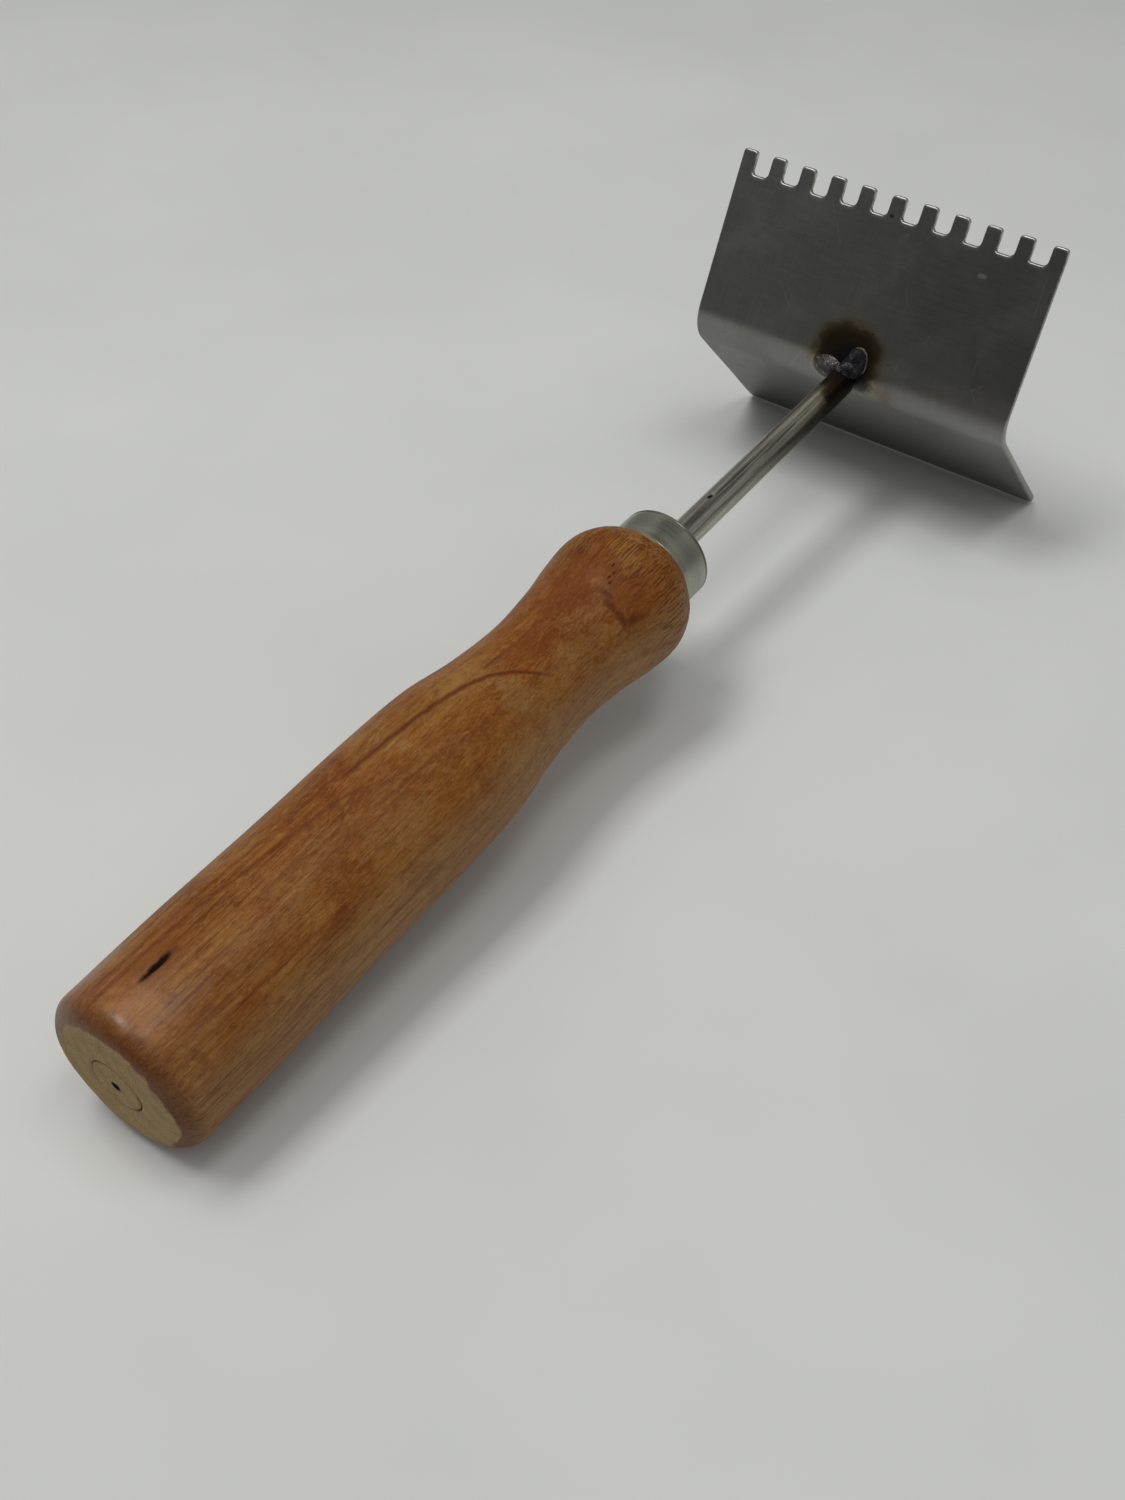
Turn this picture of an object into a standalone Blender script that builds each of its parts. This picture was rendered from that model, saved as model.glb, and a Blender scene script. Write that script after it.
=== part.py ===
"""Comb-toothed hand scraper: a turned handle, a ferrule, a round rod and a bent sheet-steel blade.

The parts are drawn in the tool's own frame, in metres: +X runs along the handle's axis from the butt to
the blade, +Y across the blade, +Z towards the teeth. They all hang on the empty "rest_pose", which tilts
the tool about Y until the butt's edge and the scraping edge both touch z = 0, and which puts the origin
at the bottom centre of the whole tool's box.
"""

import math

import bmesh
import bpy
from mathutils import Vector

MM = 0.001
GAP = 0.3 * MM              # clearance between neighbouring parts

# Handle, measured along the axis from the butt face
BUTT_ROUND = 4.0 * MM       # radius of the rounding between the butt face and the grip
CENTRE_HOLE_RADIUS = 0.8 * MM
CENTRE_HOLE_DEPTH = 1.6 * MM
GRIP_KNOTS = (              # (distance from the butt, radius), millimetres
    (4.0, 15.35), (22.0, 15.45), (46.0, 15.15), (70.0, 15.15), (83.0, 14.6), (94.0, 12.9),
    (107.0, 11.95), (118.0, 12.75), (126.0, 14.05), (132.5, 14.5), (137.0, 13.05), (140.0, 10.6),
)
GRIP_STEPS = 4              # rings between two knots
SPIGOT_RADIUS = 8.3 * MM
SPIGOT_END = 147.4 * MM
BORE_BOTTOM = 62.0 * MM
HANDLE_SIDES = 40

# Ferrule
FERRULE_RADIUS = 9.9 * MM
FERRULE_FRONT = 148.1 * MM
FERRULE_ROUND = 0.6 * MM

# Shank
ROD_RADIUS = 3.0 * MM
TANG_START = 63.0 * MM
TANG_CHAMFER = 0.8 * MM
ROD_SIDES = 28

# Blade: a flat sheet with its outline in (across, along), bent once
CORNER_X = 215.15 * MM      # where the two rod-side faces would meet if the bend were sharp
CORNER_Z = 0.25 * MM
PLATE_ANGLE = math.radians(61.0)
FLANGE_ANGLE = math.radians(-51.6)
PLATE_HEIGHT = 40.0 * MM    # from the sharp corner to the tooth tips
FLANGE_HEIGHT = 44.2 * MM   # from the sharp corner to the scraping edge
SHEET = 1.5 * MM
BEND_RADIUS = 8.3 * MM      # on the rod side
BEND_STEPS = 8
TEETH = 11
TOOTH_WIDTH = 3.4 * MM
SLOT_WIDTH = 3.84 * MM
SLOT_DEPTH = 4.8 * MM
TIP_ROUND = 0.8 * MM
ROOT_ROUND = 1.0 * MM
FLANGE_CORNER = 1.5 * MM
CORNER_STEPS = 3

# Weld beads on the blade: (across, along) centre, and half-sizes across, along and proud of the sheet
LEFT_BEAD = ((4.7 * MM, 1.2 * MM), (2.6 * MM, 2.7 * MM, 1.7 * MM))
RIGHT_BEAD = ((-2.7 * MM, 4.6 * MM), (2.5 * MM, 3.4 * MM, 2.1 * MM))
BEAD_GAP_AT = 1.35 * MM     # the two beads meet at this place across the blade
BEAD_SEGMENTS = 24
BEAD_RINGS = 14

# Worked out from the sizes above
BLADE_WIDTH = TEETH * TOOTH_WIDTH + (TEETH - 1) * SLOT_WIDTH
PITCH = TOOTH_WIDTH + SLOT_WIDTH
HALF_OPENING = (PLATE_ANGLE - FLANGE_ANGLE) / 2
MIDDLE_ANGLE = (PLATE_ANGLE + FLANGE_ANGLE) / 2
HALF_TURN = math.pi / 2 - HALF_OPENING
BEND_CENTRE_X = CORNER_X + BEND_RADIUS / math.sin(HALF_OPENING) * math.cos(MIDDLE_ANGLE)
BEND_CENTRE_Z = CORNER_Z + BEND_RADIUS / math.sin(HALF_OPENING) * math.sin(MIDDLE_ANGLE)
HALF_ARC = BEND_RADIUS * HALF_TURN
TANGENT = BEND_RADIUS / math.tan(HALF_OPENING)
PLATE_TOP = HALF_ARC + PLATE_HEIGHT - TANGENT
FLANGE_END = -(HALF_ARC + FLANGE_HEIGHT - TANGENT)
ROD_END = BEND_CENTRE_X - BEND_RADIUS - GAP


def clear_scene():
    for thing in list(bpy.data.objects):
        bpy.data.objects.remove(thing, do_unlink=True)


def finish_material(name, colour, roughness, metallic):
    material = bpy.data.materials.new(name)
    material.use_nodes = True
    shader = material.node_tree.nodes["Principled BSDF"]
    shader.inputs["Base Color"].default_value = (*colour, 1.0)
    shader.inputs["Roughness"].default_value = roughness
    shader.inputs["Metallic"].default_value = metallic
    material.diffuse_color = (*colour, 1.0)
    return material


def object_from(name, shape, material=None):
    """Turns a bmesh into a named object with its faces pointing out."""
    bmesh.ops.recalc_face_normals(shape, faces=shape.faces)
    mesh = bpy.data.meshes.new(name)
    shape.to_mesh(mesh)
    shape.free()
    mesh.shade_smooth()
    mesh.set_sharp_from_angle(angle=math.radians(35))
    thing = bpy.data.objects.new(name, mesh)
    bpy.context.scene.collection.objects.link(thing)
    if material:
        mesh.materials.append(material)
    return thing


def arc(centre, radius, start, end, steps):
    """Points on a circle, from one angle to another in degrees, both ends included."""
    points = []
    for step in range(steps + 1):
        angle = math.radians(start + (end - start) * step / steps)
        points.append((centre[0] + radius * math.cos(angle), centre[1] + radius * math.sin(angle)))
    return points


def curve_through(knots, steps):
    """A cubic curve through the knots, whose slope at each is that of the line between its neighbours."""
    slopes = []
    for index in range(len(knots)):
        before = knots[max(index - 1, 0)]
        after = knots[min(index + 1, len(knots) - 1)]
        slopes.append((after[1] - before[1]) / (after[0] - before[0]))
    points = []
    for index in range(len(knots) - 1):
        (x0, r0), (x1, r1) = knots[index], knots[index + 1]
        width = x1 - x0
        for step in range(steps):
            t = step / steps
            radius = (
                r0 * (1 + 2 * t) * (1 - t) ** 2
                + slopes[index] * width * t * (1 - t) ** 2
                + r1 * t ** 2 * (3 - 2 * t)
                - slopes[index + 1] * width * t ** 2 * (1 - t)
            )
            points.append((x0 + width * t, radius))
    points.append(knots[-1])
    return points


def turned(name, outline, sides, material, closed=False):
    """Spins an outline of (distance along X, radius) about X. A point of no radius is a pole."""
    shape = bmesh.new()
    rings = []
    for x, radius in outline:
        if radius == 0:
            rings.append([shape.verts.new((x, 0, 0))])
            continue
        ring = []
        for side in range(sides):
            angle = math.tau * side / sides - math.pi / 2
            ring.append(shape.verts.new((x, radius * math.cos(angle), radius * math.sin(angle))))
        rings.append(ring)
    pairs = list(zip(rings, rings[1:]))
    if closed:
        pairs.append((rings[-1], rings[0]))
    for first, second in pairs:
        for side in range(sides):
            following = (side + 1) % sides
            if len(first) == 1:
                corners = (first[0], second[side], second[following])
            elif len(second) == 1:
                corners = (first[side], second[0], first[following])
            else:
                corners = (first[side], second[side], second[following], first[following])
            shape.faces.new(corners)
    return object_from(name, shape, material)


def make_handle(material):
    """Turned grip with a blind bore for the tang and a spigot for the ferrule."""
    grip = [(x * MM, radius * MM) for x, radius in curve_through(GRIP_KNOTS, GRIP_STEPS)]
    edge_centre = (BUTT_ROUND, grip[0][1] - BUTT_ROUND)
    bore = ROD_RADIUS + GAP
    outline = [(CENTRE_HOLE_DEPTH, 0), (0, CENTRE_HOLE_RADIUS)]
    outline += arc(edge_centre, BUTT_ROUND, 180, 90, 6)
    outline += grip[1:]
    outline += [(grip[-1][0], SPIGOT_RADIUS), (SPIGOT_END, SPIGOT_RADIUS), (SPIGOT_END, bore)]
    outline += [(BORE_BOTTOM, bore), (BORE_BOTTOM - bore / 2, 0)]
    return turned("handle", outline, HANDLE_SIDES, material)


def make_ferrule(material):
    """Ring over the spigot, with its front outer edge rounded."""
    back = GRIP_KNOTS[-1][0] * MM + GAP
    inner = SPIGOT_RADIUS + GAP
    corner = (FERRULE_FRONT - FERRULE_ROUND, FERRULE_RADIUS - FERRULE_ROUND)
    outline = [(back, inner), (back, FERRULE_RADIUS)]
    outline += arc(corner, FERRULE_ROUND, 90, 0, 4)
    outline += [(FERRULE_FRONT, inner)]
    return turned("ferrule", outline, HANDLE_SIDES, material, closed=True)


def make_shank(material):
    """Round rod from the tang's chamfered end, deep in the handle, to the blade's bend."""
    outline = [
        (TANG_START, 0),
        (TANG_START, ROD_RADIUS - TANG_CHAMFER),
        (TANG_START + TANG_CHAMFER, ROD_RADIUS),
        (ROD_END, ROD_RADIUS),
        (ROD_END, 0),
    ]
    return turned("shank", outline, ROD_SIDES, material)


def bent(across, along, depth):
    """The place of a point of the flat sheet once it is bent.

    along is measured on the rod-side face from the middle of the bend, positive towards the teeth;
    depth goes from that face into the sheet.
    """
    turn = max(-HALF_TURN, min(HALF_TURN, along / BEND_RADIUS))
    straight = along - turn * BEND_RADIUS
    facing = MIDDLE_ANGLE + math.pi - turn
    out_x, out_z = math.cos(facing), math.sin(facing)
    reach = BEND_RADIUS - depth
    x = BEND_CENTRE_X + reach * out_x + straight * out_z
    z = BEND_CENTRE_Z + reach * out_z - straight * out_x
    return Vector((x, across, z))


def rounded(corner, before, after, radius):
    """Replaces a square corner between two neighbours with a short arc."""
    into = (Vector(corner) - Vector(before)).normalized()
    out = (Vector(after) - Vector(corner)).normalized()
    centre = Vector(corner) - into * radius + out * radius
    points = []
    for step in range(CORNER_STEPS + 1):
        angle = math.pi / 2 * step / CORNER_STEPS
        point = centre - out * radius * math.cos(angle) + into * radius * math.sin(angle)
        points.append((point.x, point.y))
    return points


def blade_outline():
    """The flat blank's outline, clockwise from the scraping edge's left corner."""
    left = BLADE_WIDTH / 2
    corners = [((left, FLANGE_END), FLANGE_CORNER)]
    for tooth in range(TEETH):
        near = left - tooth * PITCH
        far = near - TOOTH_WIDTH
        corners.append(((near, PLATE_TOP), TIP_ROUND))
        corners.append(((far, PLATE_TOP), TIP_ROUND))
        if tooth < TEETH - 1:
            corners.append(((far, PLATE_TOP - SLOT_DEPTH), ROOT_ROUND))
            corners.append(((far - SLOT_WIDTH, PLATE_TOP - SLOT_DEPTH), ROOT_ROUND))
    corners.append(((-left, FLANGE_END), FLANGE_CORNER))
    points = []
    for index, (corner, radius) in enumerate(corners):
        before = corners[index - 1][0]
        after = corners[(index + 1) % len(corners)][0]
        points += rounded(corner, before, after, radius)
    return points


def bent_sheet(name, outline, front, back, material=None):
    """Cuts a flat outline along the bend's lines, gives it depth from front to back, and bends it."""
    shape = bmesh.new()
    shape.faces.new([shape.verts.new((across, along, 0)) for across, along in outline])
    for step in range(BEND_STEPS + 1):
        line = HALF_ARC * (2 * step / BEND_STEPS - 1)
        bmesh.ops.bisect_plane(
            shape,
            geom=shape.verts[:] + shape.edges[:] + shape.faces[:],
            plane_co=(0, line, 0),
            plane_no=(0, 1, 0),
            dist=1e-7,
        )
    bmesh.ops.triangulate(shape, faces=shape.faces[:])
    flat = list(shape.faces)
    raised = bmesh.ops.extrude_face_region(shape, geom=flat, use_keep_orig=True)
    far_side = {item for item in raised["geom"] if isinstance(item, bmesh.types.BMVert)}
    for vertex in shape.verts:
        depth = back if vertex in far_side else front
        vertex.co = bent(vertex.co.x, vertex.co.y, depth)
    return object_from(name, shape, material)


def hide_cutter(cutter):
    cutter.hide_render = True
    cutter.display_type = "WIRE"


def cut(thing, cutter):
    modifier = thing.modifiers.new("cut_by_" + cutter.name, "BOOLEAN")
    modifier.operation = "DIFFERENCE"
    modifier.solver = "EXACT"
    modifier.object = cutter


def make_bead(name, place, sizes, side, cutters, material):
    """A squashed ball of weld metal on the sheet, trimmed where it meets the other bead."""
    shape = bmesh.new()
    bmesh.ops.create_uvsphere(shape, u_segments=BEAD_SEGMENTS, v_segments=BEAD_RINGS, radius=1)
    for vertex in shape.verts:
        across = place[0] + sizes[0] * vertex.co.x
        along = place[1] + sizes[1] * vertex.co.y
        vertex.co = bent(across, along, -sizes[2] * vertex.co.z)
    edge = Vector((0, BEAD_GAP_AT + side * GAP / 2, 0))
    trimmed = bmesh.ops.bisect_plane(
        shape,
        geom=shape.verts[:] + shape.edges[:] + shape.faces[:],
        plane_co=edge,
        plane_no=(0, -side, 0),
        dist=1e-7,
        clear_outer=True,
    )
    rim = [item for item in trimmed["geom_cut"] if isinstance(item, bmesh.types.BMEdge)]
    if rim:
        bmesh.ops.holes_fill(shape, edges=rim)
    bead = object_from(name, shape, material)
    for cutter in cutters:
        cut(bead, cutter)
    return bead


def make_beads(materials):
    """Both beads, cut back from the sheet and the rod by the usual clearance."""
    reach = 14 * MM
    patch = [(reach, -reach), (reach, reach), (-reach, reach), (-reach, -reach)]
    sheet_cutter = bent_sheet("sheet_cutter", patch, -GAP, 5 * MM)
    around = ROD_RADIUS + GAP
    ends = (ROD_END - 15 * MM, ROD_END + 8 * MM)
    rod_outline = [(ends[0], 0), (ends[0], around), (ends[1], around), (ends[1], 0)]
    rod_cutter = turned("rod_cutter", rod_outline, ROD_SIDES, None)
    cutters = [sheet_cutter, rod_cutter]
    for cutter in cutters:
        hide_cutter(cutter)
    left = make_bead("weld_bead_left", *LEFT_BEAD, 1, cutters, materials[0])
    right = make_bead("weld_bead_right", *RIGHT_BEAD, -1, cutters, materials[1])
    return [left, right] + cutters


def rest_tilt():
    """How far the tool turns about Y for the butt's edge and the scraping edge to stand on one level.

    The butt's edge is a circle of BUTT_ROUND about (BUTT_ROUND, -low) and the scraping edge is a point,
    so A sin(tilt) + B cos(tilt) = -BUTT_ROUND, where A and B lead from that centre to that point.
    """
    low = GRIP_KNOTS[0][1] * MM - BUTT_ROUND
    edge = bent(0, FLANGE_END, 0)
    a = edge.x - BUTT_ROUND
    b = edge.z + low
    return math.asin(-BUTT_ROUND / math.hypot(a, b)) - math.atan2(b, a)


def stand_up(parts):
    """Hangs the parts on an empty that tilts them to rest, bottom centre of their box at the origin."""
    empty = bpy.data.objects.new("rest_pose", None)
    bpy.context.scene.collection.objects.link(empty)
    empty.rotation_euler = (0, -rest_tilt(), 0)
    for part in parts:
        part.parent = empty
    bpy.context.view_layer.update()
    corners = [
        part.matrix_world @ vertex.co
        for part in parts
        if not part.hide_render
        for vertex in part.data.vertices
    ]
    middle = (min(corner.x for corner in corners) + max(corner.x for corner in corners)) / 2
    empty.location = (-middle, 0, -min(corner.z for corner in corners))


def main():
    clear_scene()
    wood = finish_material("stained_hardwood", (0.32, 0.12, 0.04), 0.4, 0.0)
    plated = finish_material("zinc_plated_steel", (0.36, 0.37, 0.34), 0.35, 1.0)
    rod_steel = finish_material("drawn_rod_steel", (0.55, 0.55, 0.52), 0.25, 1.0)
    sheet_steel = finish_material("brushed_sheet_steel", (0.4, 0.4, 0.39), 0.4, 1.0)
    bright_weld = finish_material("bright_weld_metal", (0.4, 0.39, 0.38), 0.35, 1.0)
    dark_weld = finish_material("dark_weld_metal", (0.08, 0.07, 0.07), 0.6, 1.0)
    parts = [make_handle(wood), make_ferrule(plated), make_shank(rod_steel)]
    parts.append(bent_sheet("blade", blade_outline(), 0, SHEET, sheet_steel))
    parts += make_beads((bright_weld, dark_weld))
    stand_up(parts)


main()
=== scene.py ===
"""The looks of a comb-toothed hand scraper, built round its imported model.

A turned and stained wooden grip, a plated ferrule, a drawn steel rod, and a bent, toothed steel blade
held on the rod by weld. Shapes are worked out in millimetres in the tool's own frame: +X runs from the
middle of the butt along the rod, +Y across the blade and +Z towards the teeth. Each piece is turned into
the model's frame, in metres, when its mesh is made.
"""

import itertools
import math

import bmesh
import bpy
import numpy as np
from mathutils import Euler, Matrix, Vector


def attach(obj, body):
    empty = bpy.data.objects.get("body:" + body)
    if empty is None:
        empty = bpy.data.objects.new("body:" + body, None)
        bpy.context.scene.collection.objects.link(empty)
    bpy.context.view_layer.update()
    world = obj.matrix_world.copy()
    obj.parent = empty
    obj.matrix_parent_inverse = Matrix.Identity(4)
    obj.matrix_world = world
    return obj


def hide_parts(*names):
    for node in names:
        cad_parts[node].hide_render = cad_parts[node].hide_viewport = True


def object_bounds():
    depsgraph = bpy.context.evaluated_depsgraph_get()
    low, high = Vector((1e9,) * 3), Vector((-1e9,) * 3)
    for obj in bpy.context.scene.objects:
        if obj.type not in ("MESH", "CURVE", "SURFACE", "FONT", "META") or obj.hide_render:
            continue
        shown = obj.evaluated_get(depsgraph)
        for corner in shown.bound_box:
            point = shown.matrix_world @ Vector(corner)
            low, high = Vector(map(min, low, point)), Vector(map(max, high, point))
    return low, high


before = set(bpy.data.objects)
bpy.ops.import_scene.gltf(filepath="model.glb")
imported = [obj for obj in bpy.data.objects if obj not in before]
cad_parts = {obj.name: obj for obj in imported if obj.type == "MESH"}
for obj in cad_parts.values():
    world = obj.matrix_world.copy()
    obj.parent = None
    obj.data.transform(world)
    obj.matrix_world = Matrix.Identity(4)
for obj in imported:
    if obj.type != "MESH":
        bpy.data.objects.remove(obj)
cad_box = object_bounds()

# ---- Driving sizes, in millimetres -------------------------------------------------------------------
# GRIP_KNOTS are (along, radius). The wood's KNOT and CHECKS are (along, round the grip from its top).
# Places on the blade are (across it, along its sheet from the middle of the bend).

GRIP_KNOTS = (
    (4.0, 15.35),
    (22.0, 15.45),
    (46.0, 15.15),
    (70.0, 15.15),
    (83.0, 14.6),
    (94.0, 12.9),
    (107.0, 11.95),
    (118.0, 12.75),
    (126.0, 14.05),
    (132.5, 14.5),
    (137.0, 13.05),
    (140.0, 10.6),
)
BUTT_ROUND = 4.0
CENTRE_HOLE_RADIUS = 0.8
CENTRE_HOLE_DEPTH = 1.6
SCRIBED_RING = 5.1
SKIN_RADIUS = 15.0  # places round the grip are measured as if it had this radius all along
GRIP_NOISE_RADIUS = 12.0  # its random fields are read on a cylinder of this radius
KNOT = (13.3, -0.45)
CHECKS = ((123.1, 5.1), (124.0, 4.2), (125.3, 4.3), (126.4, 3.1))
SPIGOT_RADIUS = 8.3
SPIGOT_END = 147.4
BORE_RADIUS = 3.3
BORE_BOTTOM = 62.0

FERRULE_BACK = 140.3
FERRULE_FRONT = 148.1
FERRULE_OUTER = 9.9
FERRULE_INNER = 8.6
FERRULE_NOISE_RADIUS = 10.0
FERRULE_CORNER = 0.45
FERRULE_BAND = 144.4
FERRULE_GROOVE = 147.35

ROD_RADIUS = 3.0
ROD_START = 63.0
ROD_END = 216.493
ROD_CHAMFER = 0.8
ROD_NICK = (164.3, 84.0)  # along, and in degrees round

SHEET = 1.5
BEND_RADIUS = 8.3
BEND_CENTRE_X = 225.093
BEND_CENTRE_Z = 1.067
MIDDLE_ANGLE = math.radians(4.7)
HALF_TURN = math.radians(33.7)
PLATE_TOP = 39.346
FLANGE_END = -43.546
FLANGE_CORNER = 1.5
TEETH = 11
TOOTH_WIDTH = 3.4
SLOT_WIDTH = 3.84
SLOT_DEPTH = 4.8
TIP_ROUND = 0.8
ROOT_ROUND = 0.85
EDGE_ROUND = 0.42
BLADE_HALF = (TEETH * TOOTH_WIDTH + (TEETH - 1) * SLOT_WIDTH) / 2

DENT = (-22.5, 29.3)
DOT = (0.4, 35.0)

WELD_MIDDLE = (0.2, 4.2)
NEAR_BEAD = (4.1, 1.4)
FAR_BEAD = (-2.1, 4.3)
JOINT_BEAD = (-1.0, 2.5)


# ---- The tool's frame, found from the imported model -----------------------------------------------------


def corners_of(node):
    """The corners of a CAD node, each once, in metres."""
    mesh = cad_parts[node].data
    flat = np.empty(len(mesh.vertices) * 3, np.float32)
    mesh.vertices.foreach_get("co", flat)
    return np.unique(flat.reshape(-1, 3), axis=0).astype(float)


rod_corners = corners_of("shank")
rod_middle = rod_corners.mean(axis=0)
ALONG = np.linalg.svd(rod_corners - rod_middle)[2][0]
ALONG *= np.sign(ALONG[0])
ACROSS = np.array((0.0, 1.0, 0.0))
TOWARDS_TEETH = np.cross(ALONG, ACROSS)
BUTT = rod_middle + ALONG * ((corners_of("handle") - rod_middle) @ ALONG).min()
TILT = math.atan2(ALONG[2], ALONG[0])


def to_model(points):
    """Points in the tool's frame, in millimetres, as points in the model's frame, in metres."""
    return BUTT + 0.001 * points @ np.array((ALONG, ACROSS, TOWARDS_TEETH))


# ---- Small tools for shapes ----------------------------------------------------------------------------


def noise(points, cell, seed):
    """A smooth random field from -1 to 1: random numbers on a lattice, blended by a smooth step between."""
    table = np.random.default_rng(seed).uniform(-1.0, 1.0, (32, 32, 32))
    scaled = points / np.asarray(cell, float)
    low = np.floor(scaled).astype(int)
    part = scaled - low
    part = part * part * (3 - 2 * part)
    total = np.zeros(points.shape[:-1])
    for corner in itertools.product((0, 1), repeat=3):
        weight = np.prod(np.where(corner, part, 1 - part), axis=-1)
        place = (low + corner) % 32
        total += weight * table[place[..., 0], place[..., 1], place[..., 2]]
    return total


def hump(value, middle, half):
    """1 at the middle, falling smoothly to nothing over the half width, as a bell curve."""
    return np.exp(-(((value - middle) / half) ** 2))


def ease(value, start, end):
    """0 before the start, 1 after the end, and a smooth step between."""
    part = np.clip((value - start) / (end - start), 0, 1)
    return part * part * (3 - 2 * part)


def curve_through(place, knots):
    """A cubic curve through the knots, whose slope at each is that of the line joining its neighbours."""
    at, value = np.array(knots).T
    slope = np.empty_like(value)
    slope[1:-1] = (value[2:] - value[:-2]) / (at[2:] - at[:-2])
    slope[0] = (value[1] - value[0]) / (at[1] - at[0])
    slope[-1] = (value[-1] - value[-2]) / (at[-1] - at[-2])
    left = np.clip(np.searchsorted(at, place, side="right") - 1, 0, len(at) - 2)
    width = at[left + 1] - at[left]
    part = (place - at[left]) / width
    return (
        value[left] * (1 + 2 * part) * (1 - part) ** 2
        + slope[left] * width * part * (1 - part) ** 2
        + value[left + 1] * part**2 * (3 - 2 * part)
        - slope[left + 1] * width * part**2 * (1 - part)
    )


def wrapped_quads(rows, columns):
    """Quads over a grid of points whose last column joins its first."""
    index = np.arange(rows * columns).reshape(rows, columns)
    beside = np.roll(index, -1, axis=1)
    return np.stack((index[:-1], beside[:-1], beside[1:], index[1:]), axis=-1).reshape(-1, 4)


def grid_quads(index):
    """Quads over a grid of point numbers, of any number of grids stacked in front."""
    corners = (index[..., :-1, :-1], index[..., :-1, 1:], index[..., 1:, 1:], index[..., 1:, :-1])
    return np.stack(corners, axis=-1).reshape(-1, 4)


def placed(name, data):
    """A new object in the scene that shows a mesh, a light or a camera."""
    made = bpy.data.objects.new(name, data)
    bpy.context.scene.collection.objects.link(made)
    return made


def make_piece(name, points, quads, material, slot, node, sharp, **fields):
    """A closed mesh from points in the tool's frame. Points that meet at a pole become one point.

    A node is the CAD node that the piece replaces, sharp is the angle in degrees past which an edge
    shows as sharp, and each field is an attribute with a vector for each point.
    """
    mesh = bpy.data.meshes.new(name)
    mesh.from_pydata(to_model(points), [], quads.tolist())
    for field, values in fields.items():
        layer = mesh.attributes.new(field, "FLOAT_VECTOR", "POINT")
        layer.data.foreach_set("vector", np.asarray(values, np.float32).ravel())
    work = bmesh.new()
    work.from_mesh(mesh)
    bmesh.ops.remove_doubles(work, verts=work.verts, dist=1e-7)
    if work.calc_volume(signed=True) < 0:
        bmesh.ops.reverse_faces(work, faces=work.faces)
    work.to_mesh(mesh)
    work.free()
    mesh.shade_smooth()
    mesh.set_sharp_from_angle(angle=math.radians(sharp))
    mesh.materials.append(material)
    piece = placed(name, mesh)
    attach(piece, "root")
    if node:
        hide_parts(node)


def round_axis(x, reach, angle):
    """Points by their place along the axis, their reach out from it and their angle round it."""
    return np.stack((x, reach * np.cos(angle), reach * np.sin(angle)), axis=-1)


def turned(profile, columns, shape):
    """A profile of places along the axis and radii, carried round the axis.

    shape(x, radius, angle) gives two small moves at each point: along the axis and outwards.
    """
    x, radius = (value[:, None] for value in profile.T)
    angle = np.linspace(0, 2 * math.pi, columns, endpoint=False)[None, :]
    x, radius, angle = np.broadcast_arrays(x, radius, angle)
    along, outwards = shape(x, radius, angle)
    reach = np.where(radius > 0, np.maximum(radius + outwards, 0.02), 0.0)
    return round_axis(x + along, reach, angle).reshape(-1, 3)


def make_turned(name, profile, shape, material, slot, node, columns, sharp):
    """A piece turned from a profile in so many columns, with its surface moved by its shape function."""
    quads = wrapped_quads(len(profile), columns)
    make_piece(name, turned(profile, columns, shape), quads, material, slot, node, sharp)


def stretch(start, end, rows, last=False):
    """Rows of (place, radius) from one point of a profile towards the next."""
    return np.linspace(start, end, rows, endpoint=last)


def quarter(centre, radius, first, rows):
    """Rows of (place, radius) over a quarter circle that starts at the first angle, in degrees."""
    angle = np.radians(first + np.linspace(0, 90, rows, endpoint=False))
    return np.stack((centre[0] - radius * np.cos(angle), centre[1] + radius * np.sin(angle)), axis=-1)


# ---- Small tools for materials -------------------------------------------------------------------------


class Signal:
    """A number, a vector or a colour that changes over a surface. Arithmetic on it adds nodes to its tree."""

    def __init__(self, socket):
        self.socket = socket

    def __add__(self, other):
        return calc("ADD", self, other)

    def __sub__(self, other):
        return calc("SUBTRACT", self, other)

    def __rsub__(self, other):
        return calc("SUBTRACT", other, self)

    def __mul__(self, other):
        return calc("MULTIPLY", self, other)

    def __truediv__(self, other):
        return calc("DIVIDE", self, other)

    def __rtruediv__(self, other):
        return calc("DIVIDE", other, self)

    def __or__(self, other):
        """The larger of the two, which joins two masks."""
        return calc("MAXIMUM", self, other)

    def __abs__(self):
        return calc("ABSOLUTE", self)

    def length(self):
        return put("ShaderNodeVectorMath", {0: self}, "Value", operation="LENGTH")

    def ranged(self, low, high, to_low=0.0, to_high=1.0):
        """The number carried smoothly from one range to another, and held at its ends."""
        inputs = {0: self, 1: low, 2: high, 3: to_low, 4: to_high}
        return put("ShaderNodeMapRange", inputs, interpolation_type="SMOOTHSTEP")

    def feed(self, socket):
        self.socket.id_data.links.new(self.socket, socket)


def add(kind, inputs=(), tree=None, **settings):
    """Adds a node, makes its settings, and fills its inputs by name or number with a signal or a value.

    It goes into the tree of the signals that it takes, or into the tree given if it takes none.
    """
    inputs = dict(inputs)
    tree = tree or next(value.socket.id_data for value in inputs.values() if isinstance(value, Signal))
    made = tree.nodes.new(kind)
    for name, value in settings.items():
        setattr(made, name, value)
    for name, value in inputs.items():
        if isinstance(value, Signal):
            value.feed(made.inputs[name])
        else:
            made.inputs[name].default_value = value
    return made


def put(kind, inputs=(), output=0, **settings):
    """Adds a node and gives the signal of one of its outputs."""
    return Signal(add(kind, inputs, **settings).outputs[output])


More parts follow.
